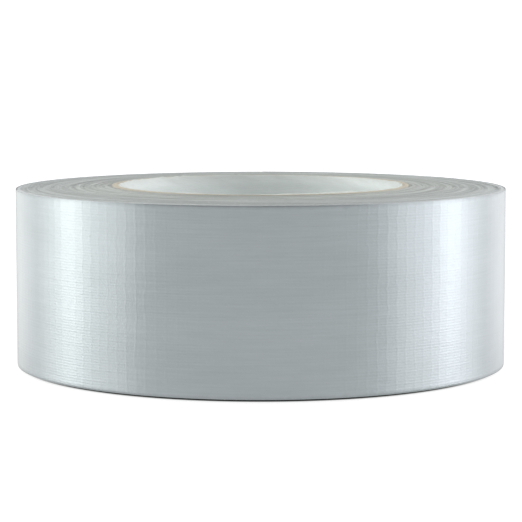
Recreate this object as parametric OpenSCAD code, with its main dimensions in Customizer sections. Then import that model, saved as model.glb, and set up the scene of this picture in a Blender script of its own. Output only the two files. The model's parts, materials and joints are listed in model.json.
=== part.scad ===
// Roll of duct tape: a spiral-wound paper core and one long strip of cloth tape
// wound on it in a true spiral. The last stretch of the strip peels off the roll.
// Millimetres, +Z up along the axis of the bore, origin at the centre of the base.

/* [Core] */
// Inner diameter of the core, the standard three inches
bore_d = 76.2; // [50:0.1:80]
// How far the core stands out of the outermost lap at each end
core_stand = 0.75; // [0.7:0.05:3]
// Thickness of the pale paper that lines the bore
liner_t = 0.45; // [0.2:0.05:0.6]
// Thickness of one ply of brown board
board_t = 0.5; // [0.3:0.05:0.8]
// Number of board plies between the liner and the wrap
board_plies = 3; // [1:1:4]
// Thickness of the smooth paper round the outside
wrap_t = 0.25; // [0.2:0.05:0.5]
// Arc of the core that the slanted seam of a ply crosses, in degrees
seam_arc = 140; // [100:5:170]
// Open gap where the two edges of a ply meet
seam_gap = 0.3; // [0.2:0.05:0.6]

/* [Tape] */
// Width of the tape
tape_w = 47.5; // [24:0.5:72]
// How much wider the wound tape is at the core than at the outside, on each face
crown = 0.6; // [0:0.1:0.7]
// Number of laps of tape on the core
laps = 149; // [40:1:160]
// Thickness of the silver backing film
film_t = 0.07; // [0.05:0.01:0.12]
// Thickness of the woven cloth under the film
scrim_t = 0.05; // [0.04:0.01:0.1]
// Thickness of the adhesive under the cloth
adhesive_t = 0.054; // [0.04:0.002:0.12]

/* [Free end] */
// Arc of roll that one stretch of the free end covers, in degrees
stretch_arc = 8; // [5:0.5:12]
// Number of stretches in the free end
stretches = 5; // [2:1:6]
// Clearance of the free end from its neighbours
end_gap = 0.05; // [0.03:0.01:0.1]
// Where the tape ends on the roll, in degrees from the X axis
end_at = 90; // [0:5:355]
// How far the free end is peeled, in degrees at its root
peel = 0; // [0:5:90]

/* [Hidden] */
$fn = 180;
eps = 0.1;
film_grey = [0.66, 0.69, 0.70];
scrim_white = [0.90, 0.90, 0.86];
adhesive_grey = [0.72, 0.74, 0.72];
edge_grey = [0.70, 0.71, 0.69];
liner_white = [0.88, 0.89, 0.88];
board_tan = [0.76, 0.66, 0.53];
wrap_tan = [0.80, 0.73, 0.62];

// Radii of the core, from the bore outwards.
bore_r = bore_d / 2;
board_r = bore_r + liner_t;
wrap_r = board_r + board_plies * board_t;
core_r = wrap_r + wrap_t;

// The core is a little longer than the tape is wide.
core_h = tape_w + 2 * core_stand;

// The seams of the plies are spread evenly round the core, the liner's at the front, each
// as steep as it takes to get from the bottom to the top within its arc.
first_seam = 270;
seam_step = 360 / (board_plies + 2);
seam_slope = atan(core_h / 2 / (bore_r * sin(seam_arc / 2)));

// The spiral is drawn with four arcs a turn. Their centres are the corners of a small
// square, so each arc meets the next one smoothly and a turn gains one tape thickness.
tape_t = film_t + scrim_t + adhesive_t;
arc_step = tape_t / 4;
arc_centres = [[0, 0], [0, -arc_step], [arc_step, -arc_step], [arc_step, 0]];

// Inner face of the outermost lap where it starts, at angle 0.
last_lap_r = core_r + (laps - 1) * tape_t;

// Layers of the tape as [distance from its inner face, thickness].
adhesive_layer = [0, adhesive_t];
scrim_layer = [adhesive_t, scrim_t];
film_layer = [adhesive_t + scrim_t, film_t];

// The free end is the last part of the fourth arc, and it stops just short of angle 0.
tip_angle = 359.7;
root_angle = tip_angle - stretches * stretch_arc;
end_centre = [arc_centres[3].x, arc_centres[3].y, 0];
end_r = last_lap_r + 3 * arc_step + end_gap;
end_outer_r = end_r + tape_t;
gap_angle = end_gap / end_outer_r * 180 / PI;
// Each stretch straightens as the one before the peel line turns.
straighten = stretch_arc * peel / 90;

// One ply of the core: a strip wound on the slant, so its two edges meet in a slanted seam.
// The seam is cut by a thin tilted plate that reaches one side of the ply only.
module ply(r, t, seam_number) {
    reach = r + t + eps;
    difference() {
        cylinder(h = core_h, r = r + t);
        translate([0, 0, -eps])
            cylinder(h = core_h + 2 * eps, r = r);
        rotate([0, 0, first_seam + seam_number * seam_step])
            translate([0, 0, core_h / 2])
                rotate([seam_slope, 0, 0])
                    translate([0, -2 * reach, -seam_gap / 2])
                        cube([reach, 4 * reach, seam_gap]);
    }
}

// A ring sector of rectangular section about the Z axis.
module sector(r, t, z, h, from, to) {
    rotate([0, 0, from])
        rotate_extrude(angle = to - from)
            translate([r, z])
                square([t, h]);
}

// One layer of a lap of tape whose inner face starts at radius r, from one angle to another.
module lap_layer(r, layer, from, to) {
    for (q = [0 : 3]) {
        arc_from = max(from, 90 * q);
        arc_to = min(to, 90 * (q + 1));
        if (arc_to > arc_from)
            translate([arc_centres[q].x, arc_centres[q].y, 0])
                sector(r + q * arc_step + layer[0], layer[1], core_stand, tape_w, arc_from, arc_to);
    }
}

// Turns the spiral so that the tape ends where it should.
module on_roll() {
    rotate([0, 0, end_at]) children();
}

// What the crowned faces leave of a stack of laps: highest at the core, level with the
// outermost lap at the outside.
module crowned_envelope() {
    rotate_extrude()
        polygon([
            [core_r, core_stand - crown],
            [last_lap_r + tape_t, core_stand],
            [last_lap_r + tape_t, core_stand + tape_w],
            [core_r, core_stand + tape_w + crown]
        ]);
}

// All laps but the outermost one. The outside is a spiral with a step one tape high.
module wound_tape() {
    intersection() {
        for (q = [0 : 3])
            translate([arc_centres[q].x, arc_centres[q].y, 0])
                sector(bore_r, last_lap_r + q * arc_step - bore_r, 0, core_h,
                       90 * q, 90 * (q + 1));
        crowned_envelope();
    }
}

// The part of the outermost lap that stays on the roll.
module outer_lap(layer) {
    on_roll() lap_layer(last_lap_r, layer, 0, root_angle - gap_angle);
}

// One stretch of the free end as it lies on the roll. Stretch 1 is next to the roll's own lap.
module stretch(i, layer) {
    from = root_angle + (i - 1) * stretch_arc;
    translate(end_centre)
        sector(end_r + layer[0], layer[1], core_stand, tape_w, from, from + stretch_arc - gap_angle);
}

// Turns its children about the hinge line before stretch i, on the tape's outer face.
module hinge(i, turn) {
    angle = root_angle + (i - 1) * stretch_arc - gap_angle / 2;
    line = end_centre + end_outer_r * [cos(angle), sin(angle), 0];
    translate(line) rotate([0, 0, -turn]) translate(-line) children();
}

// Turns its children with every hinge from the root up to the one before stretch i.
module peeled(i) {
    if (i > 1) peeled(i - 1) hinge(i, straighten) children();
    else hinge(1, peel) children();
}

// One layer of stretch i in its peeled place on the roll.
module free_end(i, layer) {
    on_roll() peeled(i) stretch(i, layer);
}

color(liner_white) ply(bore_r, liner_t, 0);  // core_liner
for (i = [1 : board_plies])
    color(board_tan) ply(board_r + (i - 1) * board_t, board_t, i);
color(wrap_tan) ply(wrap_r, wrap_t, board_plies + 1);  // core_wrap
color(edge_grey) on_roll() wound_tape();
color(adhesive_grey) outer_lap(adhesive_layer);  // outer_lap_adhesive
color(scrim_white) outer_lap(scrim_layer);  // outer_lap_scrim
color(film_grey) outer_lap(film_layer);  // outer_lap_film
for (i = [1 : stretches]) {
    color(adhesive_grey) free_end(i, adhesive_layer);
    color(scrim_white) free_end(i, scrim_layer);
    color(film_grey) free_end(i, film_layer);
}
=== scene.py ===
import json
import math

import bpy
import numpy as np
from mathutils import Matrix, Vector

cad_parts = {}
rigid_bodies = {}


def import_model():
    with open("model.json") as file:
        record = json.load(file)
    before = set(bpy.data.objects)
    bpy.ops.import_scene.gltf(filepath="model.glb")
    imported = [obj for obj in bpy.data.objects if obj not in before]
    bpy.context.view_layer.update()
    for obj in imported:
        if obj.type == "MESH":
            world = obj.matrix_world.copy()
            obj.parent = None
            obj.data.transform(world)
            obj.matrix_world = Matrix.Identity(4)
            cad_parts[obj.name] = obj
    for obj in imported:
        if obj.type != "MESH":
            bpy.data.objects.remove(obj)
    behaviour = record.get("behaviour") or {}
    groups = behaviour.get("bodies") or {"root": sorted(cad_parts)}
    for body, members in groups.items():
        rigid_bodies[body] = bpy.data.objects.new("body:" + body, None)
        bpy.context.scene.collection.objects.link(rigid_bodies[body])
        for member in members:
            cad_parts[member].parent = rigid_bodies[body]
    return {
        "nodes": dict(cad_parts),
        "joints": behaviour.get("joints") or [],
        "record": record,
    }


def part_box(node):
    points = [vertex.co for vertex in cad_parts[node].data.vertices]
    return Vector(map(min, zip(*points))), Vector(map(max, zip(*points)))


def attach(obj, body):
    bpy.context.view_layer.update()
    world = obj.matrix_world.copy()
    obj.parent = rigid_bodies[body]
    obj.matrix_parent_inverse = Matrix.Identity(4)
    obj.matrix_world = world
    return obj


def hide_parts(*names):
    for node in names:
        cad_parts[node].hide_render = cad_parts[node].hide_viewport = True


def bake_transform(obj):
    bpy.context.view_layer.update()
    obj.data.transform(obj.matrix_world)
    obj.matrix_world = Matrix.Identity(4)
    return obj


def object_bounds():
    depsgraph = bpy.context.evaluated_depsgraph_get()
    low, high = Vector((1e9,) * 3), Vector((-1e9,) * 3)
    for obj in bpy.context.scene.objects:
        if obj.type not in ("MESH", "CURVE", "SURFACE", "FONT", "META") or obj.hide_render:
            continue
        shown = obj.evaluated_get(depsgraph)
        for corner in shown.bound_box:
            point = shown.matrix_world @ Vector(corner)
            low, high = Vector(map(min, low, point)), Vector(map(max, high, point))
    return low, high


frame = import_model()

# A roll of silver duct tape. Its pieces are rebuilt in fine detail on the CAD frame.
# Lengths are in metres, or in millimetres where a name ends in _MM.
MM = 0.001
FULL_TURN = 2 * math.pi
cad_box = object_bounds()
rng = np.random.default_rng(20)


# ---- Sizes and places, all worked out from the frame -------------------------------------

def polar(point):
    """Distance of a point from the roll's axis, and its angle."""
    return math.hypot(point[0], point[1]), math.atan2(point[1], point[0])


def outer_x(node):
    """How far a node reaches from the roll's axis, on the +X side."""
    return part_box(node)[1].x


bore = next(m for m in frame["record"]["mounts"] if m["name"] == "bore")
hinges = [np.array(j["pos_m"]) for j in frame["joints"]]
STRETCHES = len(hinges)
ROLL_BODY = frame["joints"][0]["parent"]

BORE_R = bore["dims"]["r_mm"] * MM
CORE_R = outer_x("core_wrap")
CORE_LOW, CORE_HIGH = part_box("core_liner")[0].z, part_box("core_liner")[1].z
TAPE_LOW, TAPE_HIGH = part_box("outer_lap_film")[0].z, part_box("outer_lap_film")[1].z
TAPE_W = TAPE_HIGH - TAPE_LOW
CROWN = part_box("wound_tape")[1].z - TAPE_HIGH

# The strip's layers, as distances from its sticky face.
SCRIM_D = outer_x("outer_lap_adhesive") - outer_x("wound_tape")
FILM_D = outer_x("outer_lap_scrim") - outer_x("wound_tape")
TAPE_T = outer_x("outer_lap_film") - outer_x("wound_tape")

# The spiral has four arcs a turn, about the corners of a square with sides a quarter of the
# tape's thickness. Angles along the strip (phi) count from where the outermost lap starts.
END_ANGLE = math.pi / 2
ARC_STEP = TAPE_T / 4
ARC_CENTRES = np.array([[0, 0], [0, -1], [1, -1], [1, 0]]) * ARC_STEP
LAST_LAP_R = outer_x("wound_tape") - 3 * ARC_STEP
OUTER_R = LAST_LAP_R + TAPE_T
LAPS = round((LAST_LAP_R - CORE_R) / TAPE_T)

root_r, root_angle = polar(hinges[0])
STRETCH_ARC = polar(hinges[1])[1] - root_angle
ROOT_PHI = root_angle - END_ANGLE + FULL_TURN
TIP_PHI = ROOT_PHI + STRETCHES * STRETCH_ARC
ROOT_ALONG = ROOT_PHI * LAST_LAP_R
TIP_ALONG = TIP_PHI * LAST_LAP_R


def lap_radius(phi):
    """Distance from the roll's axis of the face that the outermost lap is stuck to."""
    turns, rest = np.divmod(np.asarray(phi, float), FULL_TURN)
    quarter = np.minimum((rest // (math.pi / 2)).astype(int), 3)
    centre = ARC_CENTRES[quarter]
    shift = centre[..., 0] * np.cos(rest) + centre[..., 1] * np.sin(rest)
    return LAST_LAP_R + (4 * turns + quarter) * ARC_STEP + shift


END_LIFT = root_r - float(lap_radius(ROOT_PHI)) - TAPE_T


# ---- Small tools -------------------------------------------------------------------------

NOISE_VALUES = 512
SHARP_ANGLE = math.radians(50)


def ease(t):
    """Rises smoothly from 0 to 1 as t does."""
    t = np.clip(t, 0, 1)
    return t * t * (3 - 2 * t)


def smooth_noise(x, period, seed):
    """Smooth random numbers from -1 to 1 along x, with about one bump a period."""
    values = np.random.default_rng(seed).uniform(-1, 1, NOISE_VALUES)
    cell, part = np.divmod(np.asarray(x, float) / period, 1.0)
    cell = cell.astype(int)
    blend = ease(part)
    return values[cell % NOISE_VALUES] * (1 - blend) + values[(cell + 1) % NOISE_VALUES] * blend


def around(radius, angle, height):
    """Points from cylindrical coordinates; the arrays are broadcast to one shape."""
    radius, angle, height = np.broadcast_arrays(radius, angle, height)
    return np.stack([radius * np.cos(angle), radius * np.sin(angle), height], axis=-1)


def tube_faces(columns, section, first=0):
    """Faces of a closed section of points carried along columns, capped at both ends."""
    j = np.arange(columns - 1)[:, None] * section
    i = np.arange(section)[None, :]
    after_i = (i + 1) % section
    corners = [j + i, j + after_i, j + section + after_i, j + section + i]
    faces = (np.stack(corners, axis=-1).reshape(-1, 4) + first).tolist()
    end = first + (columns - 1) * section
    return faces + [list(range(first, first + section)), list(range(end, end + section))]


def make_piece(name, points, strip, faces, material, slot, nodes):
    """A smooth-shaded mesh that stands for CAD nodes.

    strip holds each point's place in the flat material: along, across and up through it.
    Materials read it in mm, so a pattern stays put when the piece bends."""
    mesh = bpy.data.meshes.new(name)
    mesh.from_pydata(points.reshape(-1, 3).tolist(), [], faces)
    placed = mesh.attributes.new("strip", "FLOAT_VECTOR", "POINT")
    placed.data.foreach_set("vector", (strip / MM).astype(np.float32).ravel())
    mesh.materials.append(material)
    piece = bpy.data.objects.new(name, mesh)
    bpy.context.scene.collection.objects.link(piece)
    bpy.context.view_layer.objects.active = piece
    bpy.ops.object.mode_set(mode="EDIT")
    bpy.ops.mesh.select_all(action="SELECT")
    bpy.ops.mesh.normals_make_consistent(inside=False)
    bpy.ops.object.mode_set(mode="OBJECT")
    mesh.shade_smooth()
    mesh.set_sharp_from_angle(angle=SHARP_ANGLE)
    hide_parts(*nodes)
    return piece


class Nodes:
    """A node tree, with short calls that add nodes to it."""

    def __init__(self, tree):
        self.tree = tree

    def feed(self, socket, value):
        """Links a socket to another node's, or sets it to a value."""
        if isinstance(value, bpy.types.NodeSocket):
            self.tree.links.new(value, socket)
        else:
            socket.default_value = value

    def add(self, kind, inputs=(), **settings):
        node = self.tree.nodes.new("ShaderNode" + kind)
        for key, value in settings.items():
            setattr(node, key, value)
        for key, value in dict(inputs).items():
            self.feed(node.inputs[key], value)
        return node

    def math(self, operation, a, b=0.5):
        return self.add("Math", {0: a, 1: b}, operation=operation).outputs["Value"]

    def times(self, a, b):
        return self.math("MULTIPLY", a, b)

    def vector_math(self, operation, *inputs):
        made = self.add("VectorMath", dict(enumerate(inputs)), operation=operation)
        return made.outputs["Vector"]

    def join(self, x, y, z=0.0):
        return self.add("CombineXYZ", {"X": x, "Y": y, "Z": z}).outputs["Vector"]

    def ramp(self, value, low, high, low_to=0.0, high_to=1.0):
        """Maps low..high to low_to..high_to, and holds the end values beyond them."""
        made = self.add("MapRange", {"Value": value, "From Min": low, "From Max": high,
                                     "To Min": low_to, "To Max": high_to})
        return made.outputs["Result"]

    def mix(self, amount, a, b, blend="MIX"):
        made = self.add("Mix", {"Factor": amount}, data_type="RGBA", blend_type=blend)
        self.feed(made.inputs[6], a)
        self.feed(made.inputs[7], b)
        return made.outputs[2]

    def shade(self, colour, by):
        """A colour multiplied by another."""
        return self.mix(1.0, colour, by, "MULTIPLY")

    def noise(self, place, scale=1.0, detail=2.0, roughness=0.5):
        made = self.add("TexNoise", {"Vector": place, "Scale": scale, "Detail": detail,
                                     "Roughness": roughness})
        return made.outputs["Fac"]


class Surface(Nodes):
    """A material with a Principled surface, placed by the strip attribute."""

    def __init__(self, name):
        self.material = bpy.data.materials.new(name)
        self.material.use_nodes = True
        super().__init__(self.material.node_tree)
        self.principled = self.tree.nodes["Principled BSDF"]

    def set(self, **inputs):
        """Sets the surface's inputs; an underscore in a name stands for a space."""
        for key, value in inputs.items():
            self.feed(self.principled.inputs[key.replace("_", " ")], value)

    def strip(self, along=1.0, across=1.0, up=1.0):
        """Place in the flat material in mm, scaled each way. For a noise, the scales are the
        number of its blotches in a mm."""
        place = self.add("Attribute", attribute_name="strip").outputs["Vector"]
        return self.vector_math("MULTIPLY", place, (along, across, up))

    def strip_axes(self):
        split = self.add("SeparateXYZ", {0: self.strip()})
        return split.outputs["X"], split.outputs["Y"], split.outputs["Z"]

    def bump(self, height, distance_mm):
        made = self.add("Bump", {"Height": height, "Distance": distance_mm * MM, "Strength": 1.0})
        self.set(Normal=made.outputs["Normal"])


def grey(level, warmth=0.0):
    """A colour of that linear level; warmth above 0 leans to yellow, below 0 to blue."""
    return (level * (1 + warmth), level * (1 + warmth * 0.8), level * (1 - warmth), 1.0)


# ---- Materials ---------------------------------------------------------------------------

WARP_PITCH_MM = 0.7
WEFT_PITCH_MM = 2.8
WIDTH_MM = TAPE_W / MM

# The darkest and the palest colour of each material; noise mixes them.
SILVER = ((0.435, 0.485, 0.495, 1), (0.51, 0.56, 0.58, 1))
COTTON = (grey(0.70, 0.02), grey(0.85, 0.01))
RUBBER = (grey(0.36, 0.03), grey(0.45, 0.02))
TAN_BOARD = ((0.44, 0.405, 0.34, 1), (0.57, 0.53, 0.45, 1))
KRAFT = ((0.45, 0.43, 0.38, 1), (0.57, 0.54, 0.48, 1))
PALE_LINER = ((0.70, 0.745, 0.735, 1), (0.79, 0.84, 0.83, 1))

# The slit edges: at the core and at the outside, and the painted highlight that the last few
# laps are paled with, standing in for the bright rim.
INNER_EDGES = (0.45, 0.475, 0.455, 1)
OUTER_EDGES = (0.455, 0.49, 0.49, 1)
RIM_HIGHLIGHT = grey(0.85, -0.02)
RIM_HIGHLIGHT_SHARE = 0.3
RIM_HIGHLIGHT_FROM_LAP = LAPS - 11.0
RIM_HIGHLIGHT_BY_LAP = LAPS - 4.0
CUT_YARN = grey(0.76)

# The cloth's threads where they print through the adhesive.
PRINTED_MESH = grey(0.62, 0.03)

# How far in from the sawn ends the core is darker, and how wavy the border of that is.
END_DARKENING_REACH_MM = 2.0


def film_material():
    """Silver polyethylene over cloth. The ribs are in the mesh; weft bars, crinkle, streaks
    and a painted shade along each slit edge come from nodes."""
    s = Surface("silver_film")
    along, across, _ = s.strip_axes()
    cloud = s.noise(s.strip(0.05, 0.09), detail=4.0, roughness=0.6)
    streak = s.noise(s.strip(0.06, 1.9), detail=3.0, roughness=0.6)
    tone = s.math("ADD", s.times(cloud, 0.4), s.times(streak, 0.6))
    colour = s.mix(s.ramp(tone, 0.3, 0.7), *SILVER)
    # Painted shade: the film is darker within about a mm of each slit edge, standing in for the
    # shade along the roll's rims.
    to_edge = s.math("MINIMUM", across, s.math("SUBTRACT", WIDTH_MM, across))
    edge = s.math("ADD", to_edge, s.noise(s.strip(0.4, 0.0), detail=3.0, roughness=0.7))
    colour = s.shade(colour, s.mix(s.ramp(edge, 0.7, 1.5), grey(0.84), grey(1.0)))
    wander = s.times(s.noise(s.strip(0.3, 0.25)), 1.6)
    turn = s.times(s.math("ADD", along, wander), FULL_TURN / WEFT_PITCH_MM)
    weft = s.math("POWER", s.ramp(s.math("COSINE", turn), -1.0, 1.0), 6.0)
    bars = s.times(weft, s.noise(s.strip(0.5, 1.4), detail=1.0))
    crinkle = s.noise(s.strip(1.0, 2.6), scale=1.1, detail=4.0, roughness=0.65)
    s.bump(s.math("ADD", s.times(bars, 0.5), s.times(crinkle, 0.5)), distance_mm=0.05)
    s.set(Base_Color=colour, Metallic=0.8, Roughness=s.ramp(streak, 0.3, 0.7, 0.28, 0.36))
    s.set(Coat_Weight=0.5, Coat_Roughness=0.22, Coat_IOR=1.5)
    return s.material


def lap_edges_material():
    """Slit edges of the laps, packed side by side: long pale and dark rings that fade in and
    out, warmer towards the core, paled by a painted highlight at the outside, with pale specks of
    cut yarn.

    A ring's noise is placed by the direction from the axis and the lap, so that it has no
    seam where one lap goes over into the next."""
    s = Surface("slit_tape_edges")
    along, _, lap = s.strip_axes()
    base = s.mix(s.ramp(lap, 0.0, float(LAPS)), INNER_EDGES, OUTER_EDGES)
    place = s.vector_math("MULTIPLY", s.add("TexCoord").outputs["Object"], (1, 1, 0))
    direction = s.vector_math("NORMALIZE", place)
    ring_place = s.vector_math("ADD", direction, s.join(0.0, 0.0, s.times(lap, 0.14)))
    rings = s.noise(ring_place, detail=3.0, roughness=0.65)
    base = s.shade(base, s.mix(s.ramp(rings, 0.32, 0.68), grey(0.58), grey(1.12)))
    # Painted highlight: the last few laps are paled, standing in for the bright rim where light
    # catches the roll's edge.
    highlighted = s.ramp(lap, RIM_HIGHLIGHT_FROM_LAP, RIM_HIGHLIGHT_BY_LAP, 0.0, RIM_HIGHLIGHT_SHARE)
    base = s.mix(highlighted, base, RIM_HIGHLIGHT)
    yarn_place = s.join(s.times(along, 1.1), s.times(lap, 0.8))
    specks = s.ramp(s.noise(yarn_place, roughness=0.6), 0.60, 0.72)
    s.set(Base_Color=s.mix(s.times(specks, 0.45), base, CUT_YARN))
    s.bump(s.noise(yarn_place, scale=2.0, detail=4.0, roughness=0.7), distance_mm=0.05)
    s.set(Roughness=0.62)
    return s.material


def scrim_material():
    """Off-white cotton yarn, with its twist."""
    s = Surface("cotton_scrim")
    twist = s.noise(s.strip(3.0, 9.0, 9.0), detail=3.0, roughness=0.6)
    s.set(Base_Color=s.mix(s.ramp(twist, 0.3, 0.7), *COTTON))
    s.bump(twist, distance_mm=0.03)
    s.set(Roughness=0.9, Sheen_Weight=0.3, Sheen_Roughness=0.5)
    return s.material


def adhesive_material():
    """Grey tacky rubber with the cloth's mesh printed through it."""
    s = Surface("rubber_adhesive")
    along, across, _ = s.strip_axes()
    warp = s.math("COSINE", s.times(across, FULL_TURN / WARP_PITCH_MM))
    weft = s.math("COSINE", s.times(along, FULL_TURN / WEFT_PITCH_MM))
    mesh = s.math("MAXIMUM", s.ramp(s.times(warp, -1.0), 0.2, 1.0),
                  s.math("POWER", s.ramp(weft, -1.0, 1.0), 10.0))
    blotch = s.noise(s.strip(0.4, 0.4), detail=4.0, roughness=0.6)
    plain = s.mix(s.ramp(blotch, 0.3, 0.7), *RUBBER)
    s.set(Base_Color=s.mix(s.times(mesh, 0.45), plain, PRINTED_MESH))
    s.bump(s.math("ADD", mesh, s.noise(s.strip(2.0, 2.0), detail=3.0)), distance_mm=0.05)
    s.set(Roughness=0.42, Coat_Weight=0.3, Coat_Roughness=0.25)
    return s.material


def paper_material(name, colours, glue_line, end_darkening, fibre_bump_mm, roughness):
    """Core paper: fibres lie along the strip, and sawn edges show them end on.

    glue_line is how much darker its inner face is, where it is glued to the ply inside it,
    and the next argument how much darker it gets towards the sawn ends."""
    s = Surface(name)
    fibre = s.noise(s.strip(0.5, 3.0, 6.0), detail=5.0, roughness=0.7)
    blotch = s.noise(s.strip(0.12, 0.12, 0.5), detail=3.0, roughness=0.6)
    tone = s.math("ADD", s.times(fibre, 0.6), s.times(blotch, 0.4))
    colour = s.mix(s.ramp(tone, 0.35, 0.65), *colours)
    _, height, up = s.strip_axes()
    colour = s.shade(colour, s.mix(s.ramp(up, 0.02, 0.09), grey(1 - glue_line), grey(1.0)))
    # The paper is made darker towards the sawn ends, over a wavy border.
    to_end = s.math("MINIMUM", height, s.math("SUBTRACT", CORE_HIGH / MM, height))
    to_end = s.math("ADD", to_end, s.times(blotch, END_DARKENING_REACH_MM))
    darker_ends = s.mix(s.ramp(to_end, 0.2, 1.5 * END_DARKENING_REACH_MM), grey(1 - end_darkening, 0.02), grey(1.0))
    s.set(Base_Color=s.shade(colour, darker_ends))
    s.bump(fibre, fibre_bump_mm)
    s.set(Roughness=roughness)
    return s.material


film = film_material()
lap_edges = lap_edges_material()
scrim = scrim_material()
adhesive = adhesive_material()
board = paper_material("tan_board", TAN_BOARD, glue_line=0.2, end_darkening=0.0,
                       fibre_bump_mm=0.08, roughness=0.85)
wrap_paper = paper_material("kraft_wrap", KRAFT, glue_line=0.2, end_darkening=0.0,
                            fibre_bump_mm=0.05, roughness=0.75)
liner_paper = paper_material("pale_liner", PALE_LINER, glue_line=0.0, end_darkening=0.25,
                             fibre_bump_mm=0.03, roughness=0.42)


# ---- Core --------------------------------------------------------------------------------

# The seams are placed as in the CAD model.
FIRST_SEAM = math.radians(270)
SEAM_HALF_ARC = math.radians(70)
SEAM_GAP = 0.3 * MM
CORE_COLUMNS = 480
CORE_ROWS = 16

# The sawn ends. The bevel is a share of the ply's thickness. The bites of the saw and the
# torn fibres come and go over two lengths, and the fine one has a smaller part in it.
SAW_BEVEL = 0.12
BITE_PERIODS = (2.3 * MM, 0.9 * MM)
TORN_PERIODS = (7 * MM, 1.1 * MM)
TORN_LEVEL = 0.3
FINE_SHARE = 0.4
LINER_BITE = 0.10 * MM
LINER_BURR = 0.42 * MM
BOARD_BITE = 0.12 * MM
WRAP_BITE = 0.08 * MM


def fine_change(along, period, seed):
    """Changes a height by a smaller, finer noise: from 1 down to 1 - 2 * FINE_SHARE."""
    return 1 - FINE_SHARE + FINE_SHARE * smooth_noise(along, period, seed)


def make_ply(node, inner_r, turn_of_seam, material, slot, ragged, burr):
    """A ply of the core: a strip wound on the slant whose two edges meet in a seam.

    ragged is how deep the saw has bitten into its ends, and burr how far torn fibres stand
    up round the top of the bore."""
    outer_r = outer_x(node)
    bevel = SAW_BEVEL * (outer_r - inner_r)
    half = (CORE_HIGH - CORE_LOW) / 2
    rows = np.linspace(CORE_LOW, CORE_HIGH, CORE_ROWS)
    heights = np.concatenate([rows, [CORE_HIGH] * 2, rows[::-1], [CORE_LOW] * 2])
    radii = np.concatenate([np.full(CORE_ROWS, inner_r), [inner_r + bevel, outer_r - bevel],
                            np.full(CORE_ROWS, outer_r), [outer_r - bevel, inner_r + bevel]])
    from_middle = heights - CORE_LOW - half
    at_end = np.isclose(np.abs(from_middle), half)
    beveled = at_end & ((radii == inner_r) | (radii == outer_r))
    by_bore = at_end & (radii <= inner_r + bevel) & (from_middle > 0)
    lean = np.arcsin(np.clip(from_middle / half * math.sin(SEAM_HALF_ARC), -1, 1))
    half_gap = SEAM_GAP / 2 / inner_r
    turn = np.linspace(half_gap, FULL_TURN - half_gap, CORE_COLUMNS)[:, None]
    angle = turn + lean[None, :] + turn_of_seam
    radius, along = np.broadcast_arrays(radii[None, :], turn * inner_r)
    seed = int(inner_r / MM * 10)
    bite = ragged * np.abs(smooth_noise(along, BITE_PERIODS[0], seed + 1))
    bite = bite * fine_change(along, BITE_PERIODS[1], seed)
    torn = burr * np.clip(smooth_noise(along, TORN_PERIODS[0], seed + 2) + TORN_LEVEL, 0, 1)
    torn = torn * fine_change(along, TORN_PERIODS[1], seed + 3)
    inward = np.where(beveled, bevel, 0) + np.where(at_end, bite, 0) - np.where(by_bore, torn, 0)
    height = heights[None, :] - np.sign(from_middle) * inward
    strip = np.stack([along, height, radius - inner_r], axis=-1)
    piece = make_piece(node + "_paper", around(radius, angle, height), strip,
                       tube_faces(CORE_COLUMNS, len(heights)), material, slot, [node])
    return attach(piece, ROLL_BODY)


def make_core():
    """The plies from the bore outwards, with their seams spread evenly round the core."""
    plies = [("core_liner", liner_paper, "liner_paper", LINER_BITE, LINER_BURR)]
    for node in sorted(frame["nodes"]):
        if node.startswith("core_board_"):
            plies.append((node, board, "core_board", BOARD_BITE, 0.0))
    plies.append(("core_wrap", wrap_paper, "wrap_paper", WRAP_BITE, 0.0))
    inner_r = BORE_R
    for number, (node, *look) in enumerate(plies):
        make_ply(node, inner_r, FIRST_SEAM + FULL_TURN * number / len(plies), *look)
        inner_r = outer_x(node)


make_core()


# ---- Wound tape --------------------------------------------------------------------------

PACK_COLUMNS = 160
LAP_SETBACK_MM = 0.06
LAP_GROOVE_MM = 0.045

# The waves that make the rings: how many there are, how high the highest can be, and how
# much a wave drifts from one lap to the next. Jitter sets each lap a little off the rest.
RING_MODES = 26
RING_HEIGHT_MM = 0.022
RING_DRIFT = (0.05, 0.22)
JITTER_MM = 0.02
JITTER_LAPS = 0.9


def lap_height(s):
    """How far a lap's edge stands out, in mm, at s laps from the core.

    Each wave runs on smoothly along the strip, and drifts a little from one lap to the next,
    so it shows as long uneven rings. The quicker it changes, the lower it is."""
    modes = np.random.default_rng(5)
    height = np.zeros_like(s)
    for _ in range(RING_MODES):
        waves_a_turn = modes.integers(0, 3)
        drift = modes.uniform(*RING_DRIFT)
        size = RING_HEIGHT_MM / (1 + 6 * drift) / (1 + 0.6 * waves_a_turn)
        height += size * np.sin(FULL_TURN * ((waves_a_turn + drift) * s + modes.uniform()))
    return height + JITTER_MM * smooth_noise(s, JITTER_LAPS, seed=11)


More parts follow.
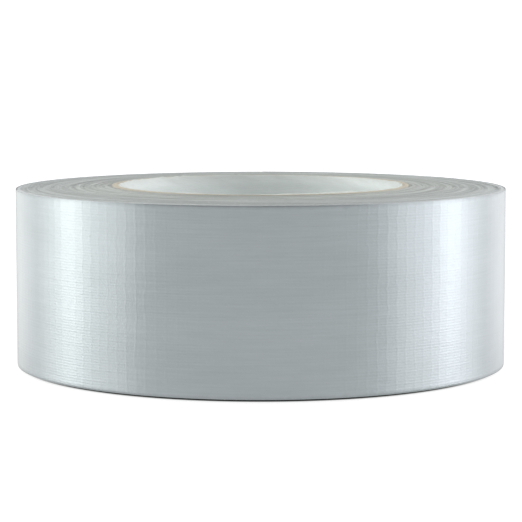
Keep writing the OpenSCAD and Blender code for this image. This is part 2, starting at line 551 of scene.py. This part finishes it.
def make_wound_tape():
    """All the laps below the outermost one: a crest and a groove for each, on both faces."""
    rows = 2 * LAPS + 1
    phi = np.linspace(0, FULL_TURN, PACK_COLUMNS, endpoint=False)[None, :]
    lap = (np.arange(rows) / 2)[:, None]
    radius = CORE_R + (lap_radius(phi) - LAST_LAP_R) + lap * TAPE_T
    s = lap + phi / FULL_TURN
    groove = np.where(np.arange(rows) % 2 == 1, 0, LAP_GROOVE_MM)[:, None]
    level = CROWN * (OUTER_R - radius) / (OUTER_R - CORE_R) - (LAP_SETBACK_MM + groove) * MM
    top = TAPE_HIGH + level + lap_height(s) * MM
    bottom = TAPE_LOW - level - lap_height(s + 2 * LAPS) * MM
    points = np.stack([around(radius, phi + END_ANGLE, top),
                       around(radius, phi + END_ANGLE, bottom)])
    strip = np.stack([np.stack([phi * radius, height, s * MM], axis=-1)
                      for height in (top, bottom)])

    def at(m, j, face):
        """Index of row m, column j. Past the last column a row goes on as the next lap's."""
        return (face * rows + m + 2 * (j // PACK_COLUMNS)) * PACK_COLUMNS + j % PACK_COLUMNS

    def wall(m, j, next_m, next_j):
        """A face between the top and the bottom."""
        return [at(m, j, 0), at(next_m, next_j, 0), at(next_m, next_j, 1), at(m, j, 1)]

    faces = []
    last_column = PACK_COLUMNS - 1
    for j in range(PACK_COLUMNS):
        last_row = rows - 3 if j == last_column else rows - 1
        faces += [[at(m, j, face), at(m + 1, j, face), at(m + 1, j + 1, face), at(m, j + 1, face)]
                  for face in (0, 1) for m in range(last_row)]
        faces += [wall(0, j, 0, j + 1), wall(last_row, j, last_row, j + 1)]
    for m in (0, 1):
        faces.append(wall(m, 0, m + 1, 0))
        faces.append(wall(rows - 3 + m, last_column, rows - 2 + m, last_column))
    piece = make_piece("wound_laps", points, strip, faces, lap_edges, "tape_edges", ["wound_tape"])
    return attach(piece, ROLL_BODY)


make_wound_tape()


# ---- The strip: film, cloth and adhesive -------------------------------------------------

ROWS_A_RIB = 4
RIB_MM = 0.022
RIB_SHARPNESS = 1.3
EDGE_ROLL = 0.08 * MM
EDGE_REACH = 0.6 * MM
SLIT_BACK = 0.25 * MM
YARNS = int(WIDTH_MM / WARP_PITCH_MM)
SPARE_YARNS = 4
yarn_strength = rng.uniform(0.55, 1.0, YARNS + SPARE_YARNS)

# The free end comes off the lap below it over a short way. Its tip curls up a little, and at
# mid-width only by a share of what it does at the edges. Its cut is ragged.
ROOT_RAMP = 3 * MM
CURL_REACH = 9 * MM
TIP_CURL = 0.22 * MM
CURL_AT_MIDDLE = 0.35
CUT_REACH = 0.8 * MM
CUT_RAGGED = 0.22 * MM
CUT_PERIOD = 1.7 * MM


def yarn_wander(along):
    """How far the warp yarns drift sideways along the strip, in pitches."""
    slow = smooth_noise(along, 19 * MM, seed=3)
    quick = smooth_noise(along, 6 * MM, seed=4)
    return 0.10 * slow + 0.05 * quick


def rib_height(along, across):
    """How far the film stands up over the warp yarns."""
    yarn = across / MM / WARP_PITCH_MM + yarn_wander(along)
    strength = yarn_strength[np.clip(yarn.astype(int), 0, len(yarn_strength) - 1)]
    strength = strength * (0.8 + 0.2 * smooth_noise(along + across * 7, 9 * MM, seed=8))
    return RIB_MM * MM * strength * (0.5 - 0.5 * np.cos(FULL_TURN * yarn)) ** RIB_SHARPNESS


def on_roll(along, across, depth):
    """Points of the strip as it lies on the roll, from places in it as it would lie flat."""
    near_cut = np.clip(1 - (TIP_ALONG - along) / CUT_REACH, 0, 1)
    along = along + near_cut * CUT_RAGGED * smooth_noise(across, CUT_PERIOD, seed=12)
    phi = along / LAST_LAP_R
    to_edge = np.minimum(across, TAPE_W - across)
    roll_in = EDGE_ROLL * np.clip(1 - to_edge / EDGE_REACH, 0, 1) ** 2
    off_middle = (2 * across / TAPE_W - 1) ** 2
    curl = TIP_CURL * ease(1 - (TIP_ALONG - along) / CURL_REACH)
    curl = curl * (CURL_AT_MIDDLE + (1 - CURL_AT_MIDDLE) * off_middle)
    lift = END_LIFT * ease((along - ROOT_ALONG) / ROOT_RAMP) + curl
    return around(lap_radius(phi) + lift + depth - roll_in, phi + END_ANGLE, TAPE_LOW + across)


def make_layer(name, along, inner_d, outer_d, outer_rows, inner_rows, relief, *look):
    """A layer of the strip. Its rows are distances across the outer and the inner face, and
    relief says whether its outer face has the ribs."""
    across = np.concatenate([outer_rows, inner_rows[::-1]])[None, :]
    is_outer = (np.arange(across.size) < len(outer_rows))[None, :]
    along, across, is_outer = np.broadcast_arrays(along[:, None], across, is_outer)
    depth = np.where(is_outer, outer_d, inner_d)
    if relief:
        depth = depth + np.where(is_outer, rib_height(along, across), 0)
    strip = np.stack([along, across, depth], axis=-1)
    faces = tube_faces(along.shape[0], along.shape[1])
    return make_piece(name, on_roll(along, across, depth), strip, faces, *look)


PLAIN_INNER_ROWS = 15
FILM_ROWS = np.linspace(0, TAPE_W, YARNS * ROWS_A_RIB + 1)
INNER_ROWS = np.linspace(EDGE_REACH, TAPE_W - EDGE_REACH, PLAIN_INNER_ROWS)
PLAIN_ROWS = np.array([0, *INNER_ROWS, TAPE_W])
SLIT_ROWS = np.array([SLIT_BACK, *INNER_ROWS, TAPE_W - SLIT_BACK])

# The cloth's yarns, as half widths and half heights of a flattened section.
YARN_SIDES = 5
WARP_HALF = (0.14 * MM, 0.026 * MM)
WEFT_HALF = (0.17 * MM, 0.022 * MM)
WEAVE = 0.008 * MM
WARP_STEP = 1.9 * MM
FINE_STEP = 0.38 * MM
WEFT_COLUMNS = 30
WEFT_POKE = 0.06 * MM
WEFT_WANDER = 0.15 * MM
WEFT_PERIOD = 8 * MM

# Tails of the warp yarns past the cut: the share of yarns that have one, the shortest and the
# longest, how gently they bend aside, and how much they sink for their length.
FRAYED_SHARE = 0.7
TAIL_MM = (0.2, 2.6)
TAIL_BEND = 3 * MM
TAIL_SINK = 0.03


def yarn(places, sideways, half_width, half_height):
    """Points of a flattened yarn about a line of places in the strip.

    sideways is the axis its width lies along: 0 for a weft yarn, 1 for a warp yarn."""
    turn = FULL_TURN * np.arange(YARN_SIDES) / YARN_SIDES
    points = np.repeat(places[:, None, :], YARN_SIDES, axis=1)
    points[..., sideways] += half_width * np.cos(turn)
    points[..., 2] += half_height * np.sin(turn)
    return points


def make_cloth(name, start, end, *look):
    """The woven cloth of a run of the strip, yarn by yarn. Where the run ends at the strip's
    tip, frayed tails of the warp yarns stick out past the cut. The yarns have more columns
    there, and at the root, where they bend sharply."""
    yarns = []
    middle = (SCRIM_D + FILM_D) / 2
    for k in range(YARNS):
        frayed = end == TIP_ALONG and rng.random() < FRAYED_SHARE
        tail = rng.uniform(*TAIL_MM) * MM if frayed else 0.0
        step = FINE_STEP if frayed or start == ROOT_ALONG else WARP_STEP
        along = np.linspace(start, end + tail, 2 + int((end + tail - start) / step))
        past_cut = np.maximum(along - end, 0)
        across = (k + 0.5 - yarn_wander(along)) * WARP_PITCH_MM * MM
        across = across + rng.uniform(-1, 1) * past_cut ** 2 / TAIL_BEND
        weave = WEAVE * np.cos(math.pi * (along / MM / WEFT_PITCH_MM + k))
        depth = middle + weave - TAIL_SINK * past_cut
        yarns.append(yarn(np.stack([along, across, depth], axis=-1), 1, *WARP_HALF))
    for n in range(math.ceil(start / MM / WEFT_PITCH_MM), math.ceil(end / MM / WEFT_PITCH_MM)):
        low, high = rng.uniform(-WEFT_POKE, SLIT_BACK, 2)
        across = np.linspace(low, TAPE_W - high, WEFT_COLUMNS)
        along = n * WEFT_PITCH_MM * MM + WEFT_WANDER * smooth_noise(across, WEFT_PERIOD, seed=n)
        weave = -WEAVE * np.cos(math.pi * (across / MM / WARP_PITCH_MM + n))
        yarns.append(yarn(np.stack([along, across, middle + weave], axis=-1), 0, *WEFT_HALF))
    faces = []
    first = 0
    for points in yarns:
        faces += tube_faces(len(points), YARN_SIDES, first)
        first += len(points) * YARN_SIDES
    strip = np.concatenate([points.reshape(-1, 3) for points in yarns])
    return make_piece(name, on_roll(*strip.T), strip, faces, *look)


def make_strip(tag, along, nodes):
    """The film, cloth and adhesive of one run of the strip, not yet riding on a body.

    The adhesive goes up between the yarns as far as the film."""
    return [
        make_layer(f"{tag}_film", along, FILM_D, TAPE_T, FILM_ROWS, PLAIN_ROWS, True,
                   film, "film", [nodes.format("film")]),
        make_cloth(f"{tag}_scrim", along[0], along[-1], scrim, "scrim", [nodes.format("scrim")]),
        make_layer(f"{tag}_adhesive", along, 0.0, FILM_D, SLIT_ROWS, SLIT_ROWS, False,
                   adhesive, "adhesive", [nodes.format("adhesive")]),
    ]


OUTER_COLUMNS = 340
END_COLUMNS = 22
BELOW_COLUMNS = 60
PEEL_BEND = 2.5 * MM


def make_outer_lap():
    """The part of the outermost lap that stays on the roll."""
    for piece in make_strip("top_lap", np.linspace(0, ROOT_ALONG, OUTER_COLUMNS), "outer_lap_{}"):
        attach(piece, ROLL_BODY)


def make_free_end():
    """The free end, cut at the middle of each stretch. Only the last piece rides on a body, that
    of the last stretch; the others have their transforms baked. The first piece lifts off the lap
    below over a short way, at the peel line."""
    middles = [ROOT_ALONG + (k + 0.5) * STRETCH_ARC * LAST_LAP_R for k in range(STRETCHES)]
    cuts = [ROOT_ALONG, *middles, TIP_ALONG]
    tangent = PEEL_BEND * around(1.0, root_angle + math.pi / 2, 0.0)
    for k, (start, end) in enumerate(zip(cuts, cuts[1:])):
        stretch = min(k + 1, STRETCHES)
        along = np.linspace(start, end, END_COLUMNS)
        for piece in make_strip(f"free_end_{k + 1}", along, f"end_{stretch}_{{}}"):
            if k == STRETCHES:
                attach(piece, f"end_{STRETCHES}")
            elif k == 0:
                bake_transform(piece)
            else:
                bend = on_roll(np.array([start, end]), TAPE_W / 2, TAPE_T)
                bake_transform(piece)


def make_film_below():
    """The film of the lap below the free end, which shows when the end is peeled off. It runs
    on into the film of the outermost lap."""
    phi = np.linspace(ROOT_PHI - STRETCH_ARC, FULL_TURN, BELOW_COLUMNS)[:, None]
    rows = np.clip(FILM_ROWS, LAP_SETBACK_MM * MM, TAPE_W - LAP_SETBACK_MM * MM)
    across = np.concatenate([rows, rows[[-1, 0]]])[None, :]
    is_outer = (np.arange(across.size) < len(rows))[None, :]
    along, across, is_outer = np.broadcast_arrays((phi - FULL_TURN) * LAST_LAP_R, across, is_outer)
    depth = np.where(is_outer, rib_height(along, across), FILM_D - TAPE_T)
    points = around(lap_radius(phi) + depth, phi + END_ANGLE, TAPE_LOW + across)
    strip = np.stack([along, across, depth], axis=-1)
    piece = make_piece("lap_below_film", points, strip, tube_faces(*along.shape), film, "film",
                       ["wound_tape"])
    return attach(piece, ROLL_BODY)


make_outer_lap()
make_free_end()
make_film_below()


# ---- Studio ------------------------------------------------------------------------------

# The floor glows white beyond the roll and faintly inside its bore. The white starts a little
# inside the roll's outside, so that only a thin dark line shows where the roll stands.
FLOOR_R = 0.45
FLOOR_RINGS = 6
FLOOR_COLUMNS = 64
FLOOR_GLOW = 0.8
GLOW_STARTS_R = OUTER_R - 2.5 * MM
GLOW_FULL_R = OUTER_R - 1.2 * MM
BORE_GLOW = 0.30
BORE_GLOW_FADES_R = BORE_R - 6 * MM

# The light of the room from the sides and from overhead, and what the camera sees instead.
ROOM_LEVEL = 0.70
OVERHEAD_LEVEL = 0.32
OVERHEAD_FROM = 0.35
BACKDROP_LEVEL = 1.2

WARM_WHITE = (1.0, 1.0, 0.98)
COOL_WHITE = (1.0, 0.98, 1.03)


def make_floor():
    """A wide plain floor, a little uneven in tone."""
    r = (np.linspace(0, 1, FLOOR_RINGS) ** 2 * FLOOR_R)[:, None]
    a = np.linspace(0, FULL_TURN, FLOOR_COLUMNS, endpoint=False)[None, :]
    points = around(r, a, cad_box[0].z)
    faces = []
    for i in range(FLOOR_RINGS - 1):
        inner = i * FLOOR_COLUMNS
        outer = inner + FLOOR_COLUMNS
        for j in range(FLOOR_COLUMNS):
            k = (j + 1) % FLOOR_COLUMNS
            faces.append([inner + j, inner + k, outer + k, outer + j])
    mesh = bpy.data.meshes.new("floor")
    mesh.from_pydata(points.reshape(-1, 3).tolist(), [], faces)
    s = Surface("pale_floor")
    place = s.add("TexCoord").outputs["Object"]
    s.set(Base_Color=s.mix(s.noise(place, scale=9.0), grey(0.24), grey(0.27)), Roughness=0.9)
    from_axis = s.add("VectorMath", {0: place}, operation="LENGTH").outputs["Value"]
    glow = s.math("MAXIMUM", s.ramp(from_axis, GLOW_STARTS_R, GLOW_FULL_R, 0.0, FLOOR_GLOW),
                  s.ramp(from_axis, BORE_GLOW_FADES_R, BORE_R, BORE_GLOW, 0.0))
    s.set(Emission_Color=(1, 1, 1, 1), Emission_Strength=glow)
    mesh.materials.append(s.material)
    floor = bpy.data.objects.new("floor", mesh)
    bpy.context.scene.collection.objects.link(floor)
    floor.visible_glossy = False
    return floor


def make_world():
    """Soft light from all round, weaker from above. The camera sees plain white."""
    world = bpy.data.worlds.new("studio")
    bpy.context.scene.world = world
    world.use_nodes = True
    s = Nodes(world.node_tree)
    upward = s.add("SeparateXYZ", {0: s.add("TexCoord").outputs["Generated"]}).outputs["Z"]
    level = s.ramp(upward, 0.0, OVERHEAD_FROM, ROOM_LEVEL, OVERHEAD_LEVEL)
    room = s.add("Background", {"Color": (1, 1, 1, 1), "Strength": level})
    backdrop = s.add("Background", {"Color": (1, 1, 1, 1), "Strength": BACKDROP_LEVEL})
    seen = s.add("LightPath").outputs["Is Camera Ray"]
    either = s.add("MixShader", {0: seen, 1: room.outputs[0], 2: backdrop.outputs[0]})
    s.feed(s.tree.nodes["World Output"].inputs["Surface"], either.outputs[0])


def softbox(name, angle_deg, distance, height, size, power, colour):
    """A rectangular light at an angle round the roll, from the camera's side, that faces it."""
    data = bpy.data.lights.new(name, "AREA")
    data.shape = "RECTANGLE"
    data.size, data.size_y = size
    data.energy = power
    data.color = colour
    light = bpy.data.objects.new(name, data)
    a = math.radians(angle_deg)
    light.location = (distance * math.sin(a), -distance * math.cos(a), height)
    back = light.location - Vector((0, 0, CORE_HIGH / 2))
    light.rotation_mode = "QUATERNION"
    light.rotation_quaternion = back.to_track_quat("Z", "Y")
    light.visible_camera = False
    bpy.context.scene.collection.objects.link(light)
    return light


def light_side(side, sign, colour, key_power):
    """The lights on one side of the roll; sign is -1 on the camera's left, 1 on its right."""
    softbox(f"{side}_key", sign * 90, distance=0.95, height=0.30, size=(1.23, 1.10),
            power=key_power, colour=colour)
    softbox(f"{side}_high", sign * 95, distance=0.60, height=0.62, size=(0.40, 0.40),
            power=3.1, colour=WARM_WHITE)
    softbox(f"{side}_strip", sign * 94, distance=0.80, height=0.25, size=(0.22, 0.80),
            power=0.8, colour=colour)
    softbox(f"{side}_back", sign * 141, distance=0.95, height=0.33, size=(0.60, 1.04),
            power=1.04, colour=colour)


make_floor()
make_world()
light_side("left", -1, WARM_WHITE, key_power=3.0)
light_side("right", 1, COOL_WHITE, key_power=3.36)


# ---- Camera ------------------------------------------------------------------------------

# The photograph's view. The camera's distance from the axis, and its height above the floor,
# are multiples of the roll's outer radius.
CAMERA_ASIDE = 0.14 * MM
CAMERA_DISTANCE = 8.935
CAMERA_HEIGHT = 1.352
CAMERA_DOWN_DEG = 5.938
LENS_MM = 150.3
SENSOR_MM = 36

camera_data = bpy.data.cameras.new("camera")
camera_data.sensor_width = SENSOR_MM
camera_data.lens = LENS_MM
camera = bpy.data.objects.new("camera", camera_data)
camera.location = (CAMERA_ASIDE, -CAMERA_DISTANCE * OUTER_R, CORE_LOW + CAMERA_HEIGHT * OUTER_R)
camera.rotation_euler = (math.radians(90 - CAMERA_DOWN_DEG), 0, 0)
bpy.context.scene.collection.objects.link(camera)
bpy.context.scene.camera = camera
bpy.context.scene.view_settings.view_transform = "Standard"
